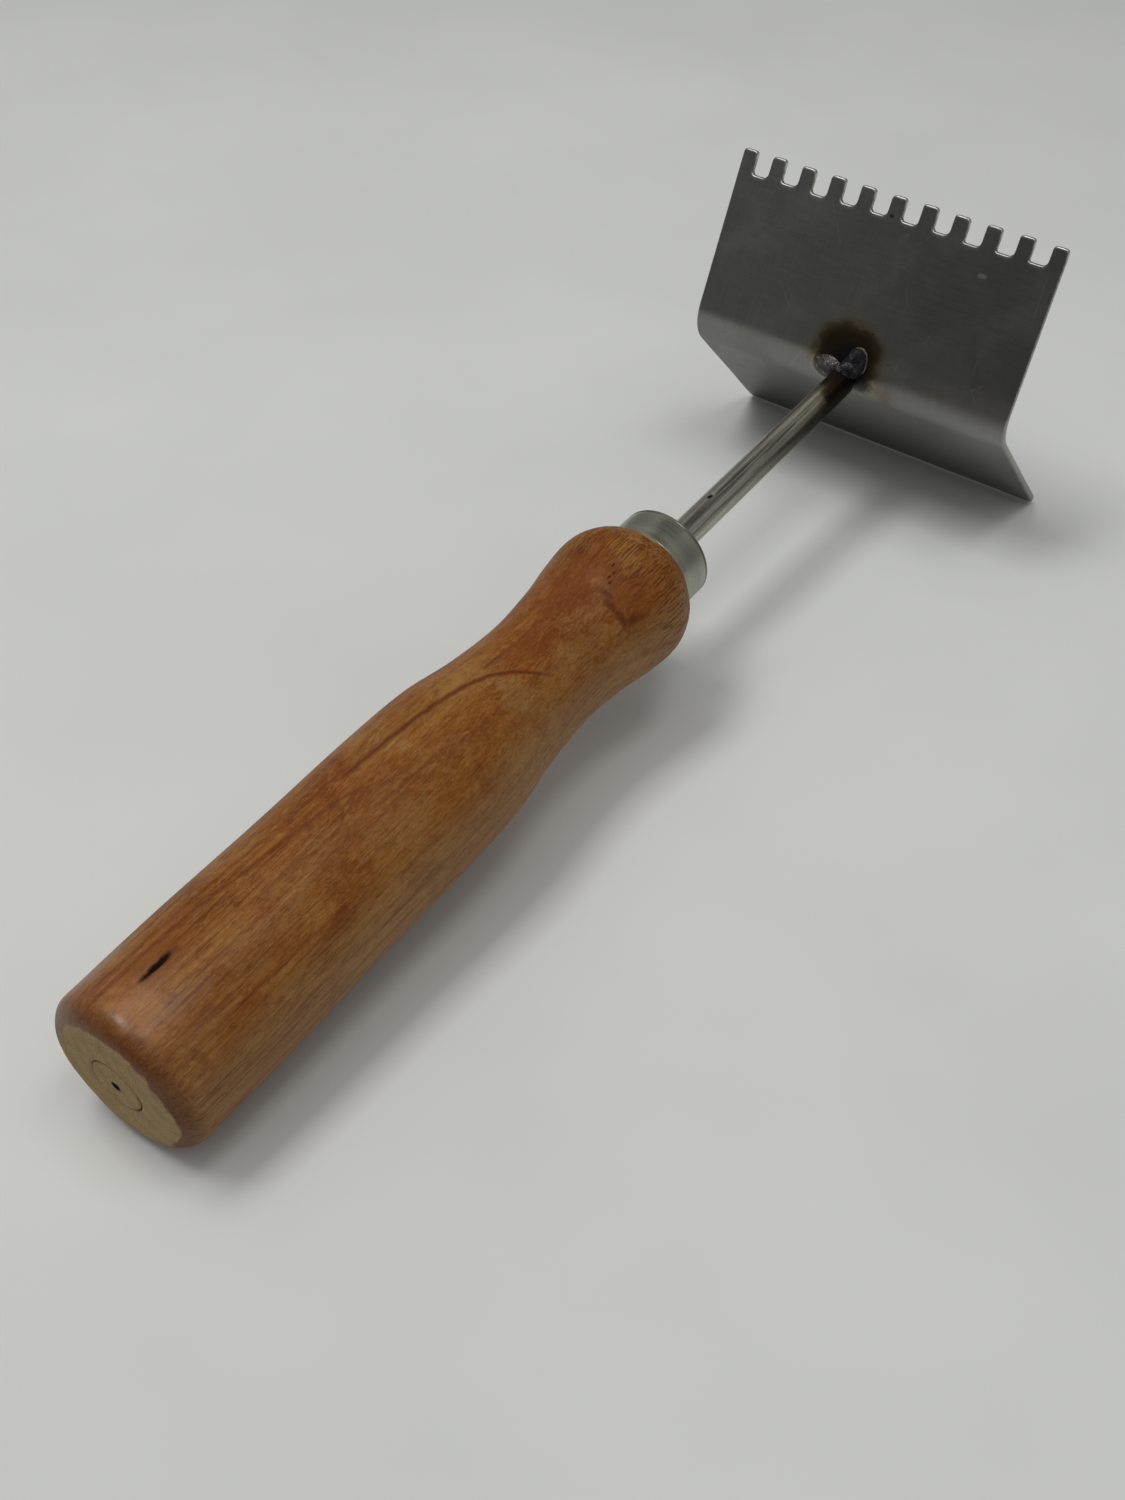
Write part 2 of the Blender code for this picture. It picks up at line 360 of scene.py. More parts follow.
def calc(operation, *values):
    """The result of a Math node, or of a Vector Math node where the first signal isn't a plain number."""
    first = next(value for value in values if isinstance(value, Signal))
    kind = "ShaderNodeMath" if first.socket.type == "VALUE" else "ShaderNodeVectorMath"
    return put(kind, enumerate(values), operation=operation)


def split(place):
    """The three numbers of a vector."""
    return [Signal(socket) for socket in add("ShaderNodeSeparateXYZ", {0: place}).outputs]


def mixed(amount, first, second):
    """The second colour over the first."""
    return put("ShaderNodeMix", {0: amount, 6: first, 7: second}, 2, data_type="RGBA")


def layered(colour, *layers):
    """A colour under tints, each given by its mask, its strength and its red, green and blue."""
    for mask, strength, *tint in layers:
        colour = mixed(mask * strength, colour, paint(*tint))
    return colour


def ramp(value, *stops):
    """A Color Ramp with the given (place, colour) stops."""
    made = add("ShaderNodeValToRGB", {0: value})
    while len(made.color_ramp.elements) < len(stops):
        made.color_ramp.elements.new(0.5)
    for element, (place, colour) in zip(made.color_ramp.elements, stops):
        element.position = place
        element.color = colour
    return Signal(made.outputs[0])


def clouds(place, scale, detail=2.0, rough=0.5, twist=0.0):
    """The value of a Noise Texture, about 0.5 on average."""
    inputs = {"Vector": place, "Scale": scale, "Detail": detail, "Roughness": rough, "Distortion": twist}
    return put("ShaderNodeTexNoise", inputs)


def paint(red, green, blue):
    """A colour given as a paint chart does, from 0 to 255, as the linear values that a shader takes."""
    value = np.array((red, green, blue)) / 255
    linear = np.where(value <= 0.04045, value / 12.92, ((value + 0.055) / 1.055) ** 2.4)
    return (*linear.tolist(), 1.0)


def even(value):
    """A grey of the given brightness, as a light gives it."""
    return (value, value, value, 1.0)


def tool_place(tree):
    """Object coordinates turned and centred into the tool's frame, in millimetres."""
    turn = Euler((0.0, TILT, 0.0))
    inputs = {
        "Vector": put("ShaderNodeTexCoord", output="Object", tree=tree),
        "Location": (np.array(turn.to_matrix()) @ (-1000 * BUTT)).tolist(),
        "Rotation": turn,
        "Scale": (1000.0, 1000.0, 1000.0),
    }
    return put("ShaderNodeMapping", inputs)


def sheet_place(tree):
    """The place on the blade's sheet: across, along and into it, in millimetres, from an attribute."""
    return put("ShaderNodeAttribute", output="Vector", tree=tree, attribute_name="sheet")


def new_group(name, inputs, outputs):
    """An empty shader group with the given sockets: the group, its inputs' signals and its outputs."""
    group = bpy.data.node_groups.new(name, "ShaderNodeTree")
    for socket, (kind, value) in inputs.items():
        made = group.interface.new_socket(socket, in_out="INPUT", socket_type="NodeSocket" + kind)
        made.default_value = value
    for socket, kind in outputs.items():
        group.interface.new_socket(socket, in_out="OUTPUT", socket_type="NodeSocket" + kind)
    entry = group.nodes.new("NodeGroupInput").outputs
    given = [Signal(entry[socket]) for socket in inputs]
    return group, given, group.nodes.new("NodeGroupOutput").inputs


def soft_spot_group():
    """A ragged, soft-edged oval mask about a centre: 1 inside, 0 outside."""
    sockets = {
        "Place": ("Vector", (0, 0, 0)),
        "Centre": ("Vector", (0, 0, 0)),
        "Reach": ("Vector", (1, 1, 1)),
        "Ragged": ("Float", 0.3),
        "Softness": ("Float", 0.5),
        "Cell": ("Float", 0.3),
    }
    group, given, out = new_group("soft spot", sockets, {"Mask": "Float"})
    place, centre, reach, ragged, softness, cell = given
    push = (clouds(place, cell, 3.0) - 0.5) * ragged
    distance = ((place - centre) / reach).length() + push * 2.0
    distance.ranged(1.0 - softness, softness + 1.0, 1.0, 0.0).feed(out["Mask"])
    return group


def fine_lines_group():
    """Fine lines along one direction of the place given, as grinding, drawing and wood fibre leave them."""
    sockets = {"Place": ("Vector", (0, 0, 0)), "Scale": ("Vector", (1, 1, 1)), "Contrast": ("Float", 1.0)}
    group, (place, scale, contrast), out = new_group("fine lines", sockets, {"Lines": "Float"})
    place = place * scale
    both = clouds(place, 1.0, 3.0, 0.6) * 0.6 + clouds(place + (31.0, 17.0, 5.0), 3.1, 2.0, 0.6) * 0.4
    (calc("MULTIPLY_ADD", both - 0.5, contrast, 0.5) | 0.0).feed(out["Lines"])
    return group


def grime_group():
    """Patches and specks of dirt: Patches is broad and faint, Specks is small and sharp."""
    sockets = {"Place": ("Vector", (0, 0, 0)), "Patch size": ("Float", 10.0), "Speck size": ("Float", 0.6)}
    outputs = {"Patches": "Float", "Specks": "Float"}
    group, (place, patch_size, speck_size), out = new_group("grime", sockets, outputs)
    clouds(place, 1.0 / patch_size, 4.0, 0.6, 0.4).ranged(0.42, 0.7).feed(out["Patches"])
    clouds(place, 1.0 / speck_size, 1.0).ranged(0.72, 0.79).feed(out["Specks"])
    return group


def heat_tint_group():
    """The oxide colours that steel takes near a weld: Heat runs from 0, none, to 1, at the weld."""
    sockets = {"Steel": ("Color", paint(150, 150, 150)), "Heat": ("Float", 0.0)}
    group, (steel, heat), out = new_group("heat tint", sockets, {"Color": "Color", "Oxide": "Float"})
    colour = ramp(
        heat,
        (0.0, paint(140, 138, 128)),
        (0.22, paint(126, 116, 84)),
        (0.42, paint(80, 69, 50)),
        (0.6, paint(54, 44, 32)),
        (0.8, paint(48, 40, 36)),
        (1.0, paint(34, 32, 36)),
    )
    mixed(heat.ranged(0.0, 0.5), steel, colour).feed(out["Color"])
    heat.ranged(0.3, 0.9).feed(out["Oxide"])
    return group


SOFT_SPOT = soft_spot_group()
FINE_LINES = fine_lines_group()
GRIME = grime_group()
HEAT_TINT = heat_tint_group()


def use(group, *values):
    """The signals of a group placed in a material, with its inputs given in their order."""
    return [Signal(socket) for socket in add("ShaderNodeGroup", enumerate(values), node_tree=group).outputs]


def spot(place, centre, reach, ragged, softness, cell):
    """A mask from the soft spot group, about a centre whose third number is 0 if it is left out."""
    centre = (*centre, 0.0)[:3]
    return use(SOFT_SPOT, place, centre, reach, ragged, softness, cell)[0]


def fine_lines(place, scale, contrast):
    """The fine lines group, with its scale in waves per millimetre each way."""
    return use(FINE_LINES, place, scale, contrast)[0]


def finish_of(name):
    """A new material, with its node tree and the inputs of its Principled shader."""
    material = bpy.data.materials.new(name)
    material.use_nodes = True
    return material, material.node_tree, material.node_tree.nodes["Principled BSDF"].inputs


def bumped(height, strength, distance):
    """The normal from a height, with the distance in metres of depth."""
    return put("ShaderNodeBump", {"Height": height, "Strength": strength, "Distance": distance})


# ---- The wooden grip -----------------------------------------------------------------------------------


def drawn_line(place, knots, width, fade):
    """A mask along a drawn line of wood grain, given as (place along, place round) knots in mm."""
    first, last = knots[0][0], knots[-1][0]
    low = min(knot[1] for knot in knots) - 1
    high = max(knot[1] for knot in knots) + 1
    along, around, _ = split(place)
    course = add("ShaderNodeFloatCurve", {1: (along - first) / (last - first)})
    points = course.mapping.curves[0].points
    while len(points) < len(knots):
        points.new(0.5, 0.5)
    for point, (knot_along, knot_around) in zip(points, knots):
        point.location = ((knot_along - first) / (last - first), (knot_around - low) / (high - low))
    course.mapping.update()
    line = calc("MULTIPLY_ADD", Signal(course.outputs[0]), high - low, low)
    away = abs(around - line + (clouds(place, 0.35, 3.0) - 0.5))
    ends = along.ranged(first, first + fade) * along.ranged(last - fade, last, 1.0, 0.0)
    return away.ranged(0.0, width, 1.0, 0.0) * ends


def stained_wood():
    """Beech under an uneven orange-brown stain and thin varnish, bare at the butt and on the spigot."""
    material, tree, shader = finish_of("stained_wood")
    place = tool_place(tree)
    x, y, z = split(place)
    around = calc("ARCTAN2", y * -1.0, z) * SKIN_RADIUS
    skin = put("ShaderNodeCombineXYZ", {0: x, 1: around})
    radius = (place * (0.0, 1.0, 1.0)).length()

    def stretched(along, sideways, detail=2.0, rough=0.5, twist=0.0):
        """Noise drawn out along the grain, given in waves per millimetre along it and across it."""
        return clouds(place * (along, sideways, sideways), 1.0, detail, rough, twist)

    def patch(centre, reach, ragged=0.8, softness=0.5, cell=0.3):
        """A ragged oval on the skin, placed along and round the grip, in millimetres."""
        return spot(skin, centre, (*reach, 1.0), ragged, softness, cell)

    # Growth rings about a heart line well off the axis, drifting along the length.
    drift = put("ShaderNodeTexNoise", {"Vector": place * (0.012, 0.05, 0.05), "Scale": 1.0}, 1)
    ring_place = place + (0.0, 17.0, -9.0) + (drift - (0.5, 0.5, 0.5)) * (0.0, 9.0, 9.0)
    rings = put(
        "ShaderNodeTexWave",
        {"Vector": ring_place, "Scale": 0.085, "Distortion": 2.2, "Detail": 2.0, "Detail Scale": 0.6},
        "Fac",
        wave_type="RINGS",
        rings_direction="X",
        wave_profile="SAW",
    )

    # The stain: broad patches and sharper blots, dark and light.
    colour = ramp(
        stretched(0.05, 0.085, 6.0, 0.68, 0.8),
        (0.34, paint(120, 64, 14)),
        (0.44, paint(136, 78, 21)),
        (0.54, paint(149, 95, 35)),
        (0.66, paint(160, 115, 58)),
    )
    dark_blots = stretched(0.09, 0.16, 6.0, 0.7, 1.0).ranged(0.53, 0.58)
    light_blots = stretched(0.13, 0.24, 6.0, 0.72, 1.2).ranged(0.54, 0.59)
    colour = layered(colour, (dark_blots, 0.5, 114, 58, 10), (light_blots, 0.4, 158, 108, 60))

    # Pale, greenish patches where the stain did not take, and a painted sheen of the floor that makes the
    # underside paler.
    pale = 0.0
    for centre, reach, strength in (
        ((92.3, 9.3), (3.4, 4.8), 1.0),
        ((95.5, 14.5), (4.2, 3.6), 0.7),
        ((57.0, 10.5), (7.5, 3.6), 0.55),
        ((107.0, 12.0), (9.0, 3.8), 0.6),
        ((84.0, 16.5), (6.5, 3.2), 0.6),
        ((118.0, 14.0), (2.4, 3.0), 0.5),
        ((26.0, 8.0), (8.0, 3.0), 0.4),
        ((40.0, 4.0), (9.0, 2.4), 0.35),
    ):
        pale = patch(centre, reach, ragged=1.3, softness=0.14) * strength | pale
    painted_floor_sheen = abs(around).ranged(13.0, 21.0)
    colour = layered(colour, (pale, 0.55, 148, 116, 68), (painted_floor_sheen, 0.6, 166, 130, 84))

    # A fine mottle, short flecks, long lines that fade along the grip, streaks, rings and fibres.
    fibre = fine_lines(place, (0.1, 1.7, 1.7), 1.8)
    streak = fine_lines(place, (0.05, 0.5, 0.5), 2.0)
    long_lines = fine_lines(place, (0.022, 1.7, 1.7), 2.8)
    mottle = stretched(0.55, 1.1, 4.0, 0.72, 0.6)
    flecks = stretched(0.8, 4.2, 2.0, 0.6)
    rear = x.ranged(22.0, 62.0, 1.0, 0.42)
    colour = layered(
        colour,
        (mottle.ranged(0.5, 0.64), 0.34, 168, 118, 72),
        (mottle.ranged(0.46, 0.34), 0.34, 100, 50, 10),
        (flecks.ranged(0.53, 0.66), 0.3, 170, 118, 68),
        (flecks.ranged(0.45, 0.33), 0.34, 92, 46, 9),
        (long_lines.ranged(0.56, 0.82) * rear, 0.62, 92, 45, 9),
        (long_lines.ranged(0.4, 0.12) * rear, 0.34, 172, 120, 66),
        (streak.ranged(0.5, 0.85), 0.36, 108, 55, 11),
        (rings.ranged(0.6, 1.0), 0.2, 100, 48, 12),
        (fibre.ranged(0.45, 0.8), 0.32, 102, 53, 13),
    )

    # Redder patches round the knot, on the bulb and at the waist, a painted highlight on the shoulder, and
    # the curl on the bulb.
    curl = 0.0
    for centre, reach in (
        ((120.9, 6.6), (0.6, 1.5)),
        ((119.8, 8.3), (0.7, 2.2)),
        ((120.0, 11.8), (0.8, 2.2)),
        ((121.6, 14.2), (1.9, 1.1)),
    ):
        curl = patch(centre, reach, ragged=1.2, softness=0.65, cell=0.5) | curl
    colour = layered(
        colour,
        (patch((12.5, -0.7), (8.0, 2.6), softness=0.6), 0.6, 126, 68, 16),
        # A painted highlight: the pale patch on the butt's shoulder.
        (patch((6.0, 1.8), (3.6, 5.5), ragged=1.2, softness=0.7, cell=0.5), 0.42, 184, 124, 70),
        (patch((124.2, 10.0), (4.4, 5.4)), 0.45, 126, 62, 14),
        (patch((121.0, -1.0), (9.0, 6.5), ragged=1.6, softness=0.35, cell=0.22), 0.5, 118, 54, 14),
        (curl, 0.75, 88, 38, 4),
        (patch((102.0, 1.5), (7.0, 2.2), ragged=1.2, softness=0.3), 0.5, 120, 58, 14),
    )

    # Long dark lines of grain that sweep past the knot and curl down at the waist.
    lines = 0.0
    for knots, width, strength in (
        (((2, -6.3), (28, -5.4), (46, -4.4), (62, -4.0)), 0.7, 0.5),
        (((1, -3.9), (20, -3.7), (35, -2.1), (45, -1.0), (60, 1.4)), 0.8, 0.7),
        (((56, -2.7), (70, -1.9), (82, -0.6), (90, 1.2), (94, 3.3), (98, 7.3), (102, 12.2)), 1.1, 1.0),
        (((26, 2.4), (40, 3.4), (60, 5.6), (76, 6.4)), 0.6, 0.3),
        (((90, -0.3), (98, -0.9), (112, -0.6)), 0.6, 0.5),
        (((4, 12.6), (26, 12.9), (44, 13.8)), 0.7, 0.4),
    ):
        lines = drawn_line(skin, knots, width, 4.0) * strength | lines

    # Open pores: short dark dashes along the grain, closer together on the front of the bulb.
    pore = stretched(0.4, 4.6, 1.0).ranged(0.62, 0.72) * 0.5
    pore = pore | stretched(0.13, 3.0, 1.5).ranged(0.53, 0.62) * x.ranged(121.0, 129.0)

    # The knot's slit and the small checks are painted black inside, as shade.
    gaps = patch(KNOT, (3.6, 0.6), ragged=0.5, cell=0.6)
    for check in CHECKS:
        gaps = patch(check, (0.45, 0.24), ragged=1.3, softness=0.8, cell=2.1) * 0.8 | gaps
    colour = layered(colour, (lines, 0.85, 96, 40, 4), (pore, 0.58, 74, 34, 8), (gaps, 0.96, 12, 7, 5))

    # The bare end grain of the butt, with its scribed ring and centre hole.
    end_grain = stretched(0.2, 2.6, 4.0, 0.7).ranged(0.35, 0.7)
    faded = (z - y).ranged(-5.0, 1.5, 0.25, 0.95)
    raw = layered(
        mixed(end_grain, paint(156, 132, 94), paint(184, 160, 120)),
        (stretched(0.2, 0.35, 3.0).ranged(0.4, 0.7), 0.35, 140, 116, 80),
        (rings.ranged(0.5, 1.0), 0.22, 128, 102, 70),
        (abs(radius - SCRIBED_RING).ranged(0.03, 0.32, 1.0, 0.0), faded, 62, 46, 28),
        # Painted shade: the centre hole and a little round it are painted near black.
        (radius.ranged(CENTRE_HOLE_RADIUS, CENTRE_HOLE_RADIUS + 0.35, 1.0, 0.0), 0.95, 24, 17, 12),
    )
    bare = spot(place + (0.0, 0.45, 0.2), (0.0, 0.0), (2.3, 12.5, 12.5), 0.13, 0.03, 0.22)

    # The stain gathers at the butt's rim, and it stops short of the spigot.
    rim = (x + streak * 3.0).ranged(2.0, 6.5, 1.0, 0.0)
    joint = patch((138.7, 3.0), (0.9, 3.0), ragged=0.4, softness=0.3, cell=0.6) * 0.8
    colour = mixed(bare, layered(colour, (rim, 0.7, 84, 42, 8)), raw)
    end = GRIP_KNOTS[-1][0]
    unstained = x.ranged(end - 0.4, end + 0.4) | joint
    mixed(unstained, colour, paint(190, 160, 116)).feed(shader["Base Color"])

    # Varnish, worn off the butt's lower side, over the fibres, the pores and a crazed shoulder.
    matt = bare | gaps
    dull = matt * 0.3 | pore * 0.2
    (fibre.ranged(0.3, 0.8, 0.48, 0.64) + dull).feed(shader["Roughness"])
    kept = (z.ranged(2.0, 11.0) - x.ranged(5.0, 22.0)).ranged(0.0, 1.0, 0.15, 0.62)
    ((1.0 - matt) * kept).feed(shader["Coat Weight"])
    shader["Coat Roughness"].default_value = 0.29
    shader["Specular IOR Level"].default_value = 0.12
    relief = fibre * 0.6 - pore * 0.9 - lines * 0.15 + stretched(0.25, 0.7, 3.0) * 0.8
    relief = relief + stretched(0.7, 1.3, 4.0, 0.7) * x.ranged(5.0, 18.0, 1.8, 0.0)
    bumped(relief, 0.8, 0.00014).feed(shader["Normal"])
    return material


def grip_profile():
    """From the tip of the centre hole, over the butt, the side and the spigot, to the bottom of the bore."""
    flat = GRIP_KNOTS[0][1] - BUTT_ROUND
    side = np.linspace(GRIP_KNOTS[0][0], GRIP_KNOTS[-1][0], 176)
    shoulder, neck = GRIP_KNOTS[-1][0] + 0.05, GRIP_KNOTS[-1][1] - 0.1
    return np.concatenate(
        (
            stretch((CENTRE_HOLE_DEPTH, 0.0), (0.0, CENTRE_HOLE_RADIUS), 5),
            stretch((0.0, CENTRE_HOLE_RADIUS), (0.0, flat), 40),
            quarter((BUTT_ROUND, flat), BUTT_ROUND, 0, 14),
            np.stack((side, curve_through(side, GRIP_KNOTS)), axis=-1),
            stretch((shoulder, neck), (shoulder, SPIGOT_RADIUS), 3),
            stretch((shoulder, SPIGOT_RADIUS), (SPIGOT_END, SPIGOT_RADIUS), 5),
            stretch((SPIGOT_END, SPIGOT_RADIUS - 0.1), (SPIGOT_END, BORE_RADIUS), 6),
            stretch((SPIGOT_END, BORE_RADIUS), (BORE_BOTTOM, BORE_RADIUS), 6),
            stretch((BORE_BOTTOM, BORE_RADIUS), (BORE_BOTTOM, 0.0), 2, last=True),
        )
    )


def grip_shape(x, radius, angle):
    """How hand sanding, the knot, the cracks and the scribed ring move the turned surface, always inwards."""
    face = x < 0.001
    skin = ~face & (x < GRIP_KNOTS[-1][0] + 0.01) & (radius > SPIGOT_RADIUS + 0.01)
    around = round_axis(x, GRIP_NOISE_RADIUS, angle)
    sanded = 0.05 * noise(around, (14, 5, 5), 3) - 0.05
    fibre = 0.012 * noise(around, (9, 0.8, 0.8), 4)
    dents = 0.03 * (noise(around, (2.2, 1.1, 1.1), 5) - 1) * ease(-x, -20, -5)
    top = np.arctan2(-np.sin(angle - math.pi / 2), np.cos(angle - math.pi / 2))
    arc = -SKIN_RADIUS * top
    slit = 0.7 * hump(x, KNOT[0], 3.2) ** 2 * hump(arc, KNOT[1] + 0.13 * (x - KNOT[0]), 0.42)
    cracks = sum(0.2 * hump(x, at, 0.5) ** 2 * hump(arc, line, 0.3) for at, line in CHECKS)
    outwards = np.where(skin, sanded + fibre + dents - slit - cracks, 0.0)
    rounding = hump(x, 1.2, 1.6) * skin
    uneven = 0.22 * (1 + noise(around, (40, 4, 4), 8)) + 0.35 * hump(np.abs(arc), 30, 9)
    outwards -= rounding * uneven * 0.5
    ring = 0.3 * hump(radius, SCRIBED_RING, 0.28)
    flatness = 0.04 * (1 + noise(round_axis(x, radius, angle), 3.0, 9))
    along = np.where(face, ring + flatness, rounding * uneven * 0.35)
    return along, outwards


def build_grip():
    """The grip, in columns narrow enough for its cracks."""
    finish = (stained_wood(), "stained_wood", "handle")
    make_turned("wooden_grip", grip_profile(), grip_shape, *finish, columns=340, sharp=60)


# ---- The ferrule ---------------------------------------------------------------------------------------


def plated_ferrule():
    """Dull nickel plate, olive-grey, with fine lines round it from turning and a darker worn band."""
    material, tree, shader = finish_of("plated_ferrule")
    place = tool_place(tree)
    along = split(place)[0]
    lines = fine_lines(place, (4.5, 0.05, 0.05), 2.0)
    patches, specks = use(GRIME, place, 4.0, 0.5)
    layered(
        mixed(lines.ranged(0.3, 0.7), paint(162, 161, 148), paint(175, 174, 159)),
        (patches, 0.4, 142, 143, 134),
        (abs(along - FERRULE_BAND).ranged(0.6, 2.4, 1.0, 0.0), 0.35, 122, 126, 122),
        # Painted shade: a thin dark line in the groove behind the front rim.
        (abs(along - FERRULE_GROOVE - 0.15).ranged(0.08, 0.3, 1.0, 0.0), 0.6, 52, 50, 44),
        (specks, 0.6, 60, 54, 42),
    ).feed(shader["Base Color"])
    shader["Metallic"].default_value = 0.9
    (lines.ranged(0.2, 0.8, 0.26, 0.33) + patches * 0.1).feed(shader["Roughness"])
    bumped(lines, 0.15, 0.00003).feed(shader["Normal"])
    return material


def ferrule_profile():
    """Round the ring's wall once: out along the outside, over the front, back along the inside."""
    back, front = FERRULE_BACK + FERRULE_CORNER, FERRULE_FRONT - FERRULE_CORNER
    edge = FERRULE_OUTER - FERRULE_CORNER
    return np.concatenate(
        (
            stretch((FERRULE_BACK, FERRULE_INNER), (FERRULE_BACK, edge), 4),
            quarter((back, edge), FERRULE_CORNER, 0, 6),
            stretch((back, FERRULE_OUTER), (front, FERRULE_OUTER), 60, last=True),
            quarter((front, edge), FERRULE_CORNER, 90, 6),
            stretch((FERRULE_FRONT, edge), (FERRULE_FRONT, FERRULE_INNER + 0.2), 4),
            stretch((FERRULE_FRONT - 0.2, FERRULE_INNER), (FERRULE_BACK, FERRULE_INNER), 8, last=True),
        )
    )


def ferrule_shape(x, radius, angle):
    """Turning marks, a shallow groove behind the front rim, a slight oval and a few small dents."""
    outer = radius > FERRULE_INNER + 0.3
    around = round_axis(x, FERRULE_NOISE_RADIUS, angle)
    marks = 0.006 * noise(around, (0.35, 60, 60), 12)
    groove = 0.09 * hump(x, FERRULE_GROOVE, 0.16)
    dents = 0.06 * np.maximum(noise(around, (2.2, 2.2, 2.2), 14) - 0.45, 0)
    oval = 0.03 * np.cos(2 * angle)
    return np.zeros_like(x), np.where(outer, marks - groove - dents - 0.03 + oval, 0.0)


def build_ferrule():
    """The ferrule, a plated ring with an open bore for the spigot."""
    finish = (plated_ferrule(), "plated_ferrule", "ferrule")
    make_turned("ferrule_ring", ferrule_profile(), ferrule_shape, *finish, columns=300, sharp=70)


# ---- The rod -------------------------------------------------------------------------------------------


def drawn_steel():
    """Drawn steel rod: lines along it, dull grey, straw to brown and purple where the weld heated it."""
    material, tree, shader = finish_of("drawn_steel")
    place = tool_place(tree)
    x, y, z = split(place)
    lines = fine_lines(place, (0.03, 2.2, 2.2), 2.2)
    patches, specks = use(GRIME, place, 6.0, 0.45)
    steel = mixed(lines.ranged(0.3, 0.7), paint(160, 158, 148), paint(196, 193, 181))
    steel = layered(steel, (patches, 0.35, 150, 142, 122), (specks, 0.7, 58, 50, 42))
    gap = ROD_END - (x + ((clouds(place, 0.5) - 0.5) * 5.0 - y * 1.2))
    heat = gap.ranged(2.0, 13.0, 0.86, 0.18) + gap.ranged(11.0, 32.0, 0.0, -0.18)
    colour, oxide = use(HEAT_TINT, steel, heat)
    # A painted dark reflection: a darker band along the lower -Y side towards the weld. It is paint, so it
    # stays when the lights move.
    painted_dark_reflection = (y * -0.75 + z * -0.65).ranged(0.3, 1.3) * gap.ranged(58.0, 12.0)
    nick = spot(place, (ROD_NICK[0], 0.3, ROD_RADIUS), (0.7, 0.5, 0.7), 0.4, 0.3, 1.0)
    layered(colour, (painted_dark_reflection, 0.85, 54, 52, 46), (nick, 1.0, 40, 34, 28)).feed(shader["Base Color"])
    shader["Metallic"].default_value = 1.0
    (lines.ranged(0.2, 0.8, 0.22, 0.36) + oxide * 0.12).feed(shader["Roughness"])
    bumped(lines, 0.5, 0.00005).feed(shader["Normal"])
    return material


def rod_profile():
    """From the middle of the tang's end, along the side, to the middle of the welded end."""
    body = np.linspace(ROD_START + ROD_CHAMFER, ROD_END - ROD_CHAMFER, 200)
    return np.concatenate(
        (
            stretch((ROD_START, 0.0), (ROD_START, ROD_RADIUS - ROD_CHAMFER), 3),
            stretch((ROD_START, ROD_RADIUS - ROD_CHAMFER), (body[0], ROD_RADIUS), 3),
            np.column_stack((body, np.full(len(body), ROD_RADIUS))),
            stretch((ROD_END - ROD_CHAMFER / 2, ROD_RADIUS - ROD_CHAMFER / 2), (ROD_END, 0.0), 4, last=True),
        )
    )


def rod_shape(x, radius, angle):
    """A nick near the ferrule, drawn lines along the rod, and a slight waviness."""
    side = radius > ROD_RADIUS - 0.01
    around = round_axis(x, ROD_RADIUS, angle)
    wave = 0.012 * noise(around, (12, 2, 2), 21) + 0.006 * noise(around, (30, 0.35, 0.35), 22) - 0.015
    nick = 0.3 * hump(x, ROD_NICK[0], 0.5) * hump(angle, math.radians(ROD_NICK[1]), 0.16)
    return np.zeros_like(x), np.where(side, wave - nick, 0.0)


def build_rod():
    """The rod, from its tang inside the grip to the weld."""
    finish = (drawn_steel(), "rod_steel", "shank")
    make_turned("steel_rod", rod_profile(), rod_shape, *finish, columns=96, sharp=60)


# ---- The blade -----------------------------------------------------------------------------------------


def on_sheet(across, along, depth):
    """A point of the bent sheet: across it, along its rod side from the middle of the bend, and into it.

    The bend is an arc of BEND_RADIUS about its centre, and beyond HALF_TURN each wing runs straight on.
    """
    turn = np.clip(along / BEND_RADIUS, -HALF_TURN, HALF_TURN)
    straight = along - turn * BEND_RADIUS
    facing = MIDDLE_ANGLE + math.pi - turn
    out_x, out_z = np.cos(facing), np.sin(facing)
    reach = BEND_RADIUS - depth
    x = BEND_CENTRE_X + reach * out_x + straight * out_z
    z = BEND_CENTRE_Z + reach * out_z - straight * out_x
    return np.stack(np.broadcast_arrays(x, across, z), axis=-1)


def from_corner(away, radius):
    """How far a rounded corner has fallen back at a distance in from the side that it meets."""
    inside = np.clip(radius - away, 0, radius)
    return radius - np.sqrt(np.maximum(radius**2 - inside**2, 0))


